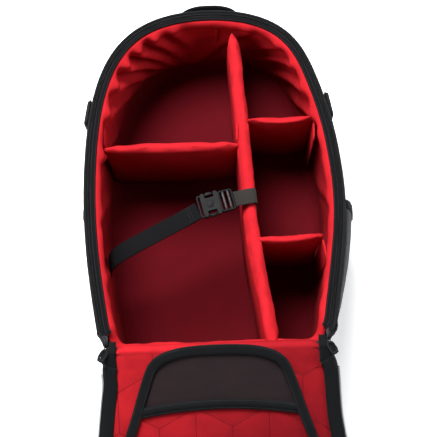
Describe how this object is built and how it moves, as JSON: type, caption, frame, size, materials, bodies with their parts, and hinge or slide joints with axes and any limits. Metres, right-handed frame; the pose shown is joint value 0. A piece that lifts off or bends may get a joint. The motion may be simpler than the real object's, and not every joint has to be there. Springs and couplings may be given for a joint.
{
  "type": "camera bag",
  "caption": "Padded camera backpack lying open on its harness, with a hinged zip lid, removable padded dividers, a buckled tie-down strap, side pockets and a grab handle.",
  "frame": {"origin": "on the resting face of the middle back pad, on the bag's centre line, 230 mm from the hinge edge", "axes": "+X across the bag to the right seen with the handle end up, +Y from the hinge end to the handle end, +Z from the back pads to the opening"},
  "size_m": [0.3484, 0.9043, 0.2216],
  "materials": {
    "shell_fabric": "matte woven polyester, dark grey",
    "foam": "closed-cell foam",
    "red_lining": "brushed red lining",
    "black_binding": "ribbed grosgrain",
    "mesh": "fine dark mesh",
    "zip_coil": "nylon coil",
    "webbing": "woven nylon webbing",
    "buckle_plastic": "satin acetal",
    "slider_metal": "gunmetal plated",
    "pad_fabric": "air-mesh covered foam"
  },
  "bodies": {
    "bag": {"outer_shell": "shell_fabric", "wall_foam": "foam", "lining_tub": "red_lining", "hinge_roll": "red_lining", "rim_piping": "black_binding", "body_zip_tape": "black_binding", "body_zip_coil": "zip_coil", "rim_band": "black_binding", "long_divider": "red_lining", "tie_buckle_female": "buckle_plastic", "tie_buckle_male": "buckle_plastic", "tie_webbing_left": "webbing", "tie_webbing_right": "webbing", "lumbar_pad": "pad_fabric", "middle_back_pad": "pad_fabric", "upper_back_pad": "pad_fabric", "shoulder_strap_left": "pad_fabric", "shoulder_strap_right": "pad_fabric", "strap_adjuster_left": "buckle_plastic", "strap_adjuster_right": "buckle_plastic", "lower_webbing_left": "webbing", "lower_webbing_right": "webbing", "top_handle": "webbing", "side_pocket_left": "shell_fabric", "side_pocket_right": "shell_fabric", "compression_webbing_left": "webbing", "compression_webbing_right": "webbing", "compression_adjuster_left": "buckle_plastic", "compression_adjuster_right": "buckle_plastic"},
    "lid": {"lid_edge_band": "black_binding", "lid_zip_coil": "zip_coil", "lid_lining": "red_lining", "lid_arch_binding": "black_binding", "lid_mesh_panel": "mesh", "lid_mesh_hem": "black_binding", "lid_center_panel": "red_lining", "lid_foam": "foam", "lid_outer_panel": "shell_fabric", "front_pocket_panel": "shell_fabric", "pocket_zip_tape": "black_binding", "pocket_zip_coil": "zip_coil"},
    "zip_slider_left": {"zip_slider_left": "slider_metal"},
    "zip_slider_right": {"zip_slider_right": "slider_metal"},
    "zip_pull_left": {"zip_pull_left": "webbing"},
    "zip_pull_right": {"zip_pull_right": "webbing"},
    "pocket_slider": {"pocket_zip_slider": "slider_metal"},
    "pocket_pull": {"pocket_zip_pull": "webbing"},
    "divider_left": {"cross_divider_left": "red_lining"},
    "divider_upper_right": {"cross_divider_upper_right": "red_lining"},
    "divider_lower_right": {"cross_divider_lower_right": "red_lining"},
    "prong_front": {"tie_buckle_prong_front": "buckle_plastic"},
    "prong_rear": {"tie_buckle_prong_rear": "buckle_plastic"},
    "sternum_strap": {"sternum_webbing_left": "webbing", "sternum_webbing_right": "webbing", "sternum_buckle": "buckle_plastic"}
  },
  "joints": [
    {"name": "lid_hinge", "type": "hinge", "parent": "bag", "child": "lid", "pos_m": [0, -0.23, 0.216], "axis": [1, 0, 0], "range_deg": [-212.1, 0]},
    {"name": "zip_slider_left_travel", "type": "slide", "parent": "bag", "child": "zip_slider_left", "axis": [-0.1812, 0.9775, -0.1081], "range_m": [0, 0.06]},
    {"name": "zip_pull_left_swing", "type": "hinge", "parent": "zip_slider_left", "child": "zip_pull_left", "pos_m": [-0.1283, -0.22827, 0.21924], "axis": [0.8653, -0.4963, 0.0702], "range_deg": [-100, 0]},
    {"name": "zip_slider_right_travel", "type": "slide", "parent": "bag", "child": "zip_slider_right", "axis": [0.1812, 0.9775, -0.1081], "range_m": [0, 0.06]},
    {"name": "zip_pull_right_swing", "type": "hinge", "parent": "zip_slider_right", "child": "zip_pull_right", "pos_m": [0.1283, -0.22827, 0.21924], "axis": [0.8653, 0.4963, -0.0702], "range_deg": [-100, 0]},
    {"name": "pocket_slider_travel", "type": "slide", "parent": "lid", "child": "pocket_slider", "axis": [1, 0, 0], "range_m": [0, 0.15]},
    {"name": "pocket_pull_swing", "type": "hinge", "parent": "pocket_slider", "child": "pocket_pull", "pos_m": [-0.075, -0.50942, 0.05154], "axis": [1, 0, 0], "range_deg": [-115, 0]},
    {"name": "divider_left_lift", "type": "slide", "parent": "bag", "child": "divider_left", "axis": [0, 0, 1], "range_m": [0, 0.19]},
    {"name": "divider_upper_right_lift", "type": "slide", "parent": "bag", "child": "divider_upper_right", "axis": [0, 0, 1], "range_m": [0, 0.19]},
    {"name": "divider_lower_right_lift", "type": "slide", "parent": "bag", "child": "divider_lower_right", "axis": [0, 0, 1], "range_m": [0, 0.19]},
    {"name": "prong_front_squeeze", "type": "slide", "parent": "bag", "child": "prong_front", "axis": [-0.2334, 0.9724, 0], "range_m": [0, 0.0022], "stiffness_N_per_m": 400},
    {"name": "prong_rear_squeeze", "type": "slide", "parent": "bag", "child": "prong_rear", "axis": [0.2334, -0.9724, 0], "range_m": [0, 0.0022], "stiffness_N_per_m": 400},
    {"name": "sternum_strap_height", "type": "slide", "parent": "bag", "child": "sternum_strap", "axis": [0, 1, 0], "range_m": [-0.025, 0.025]}
  ]
}
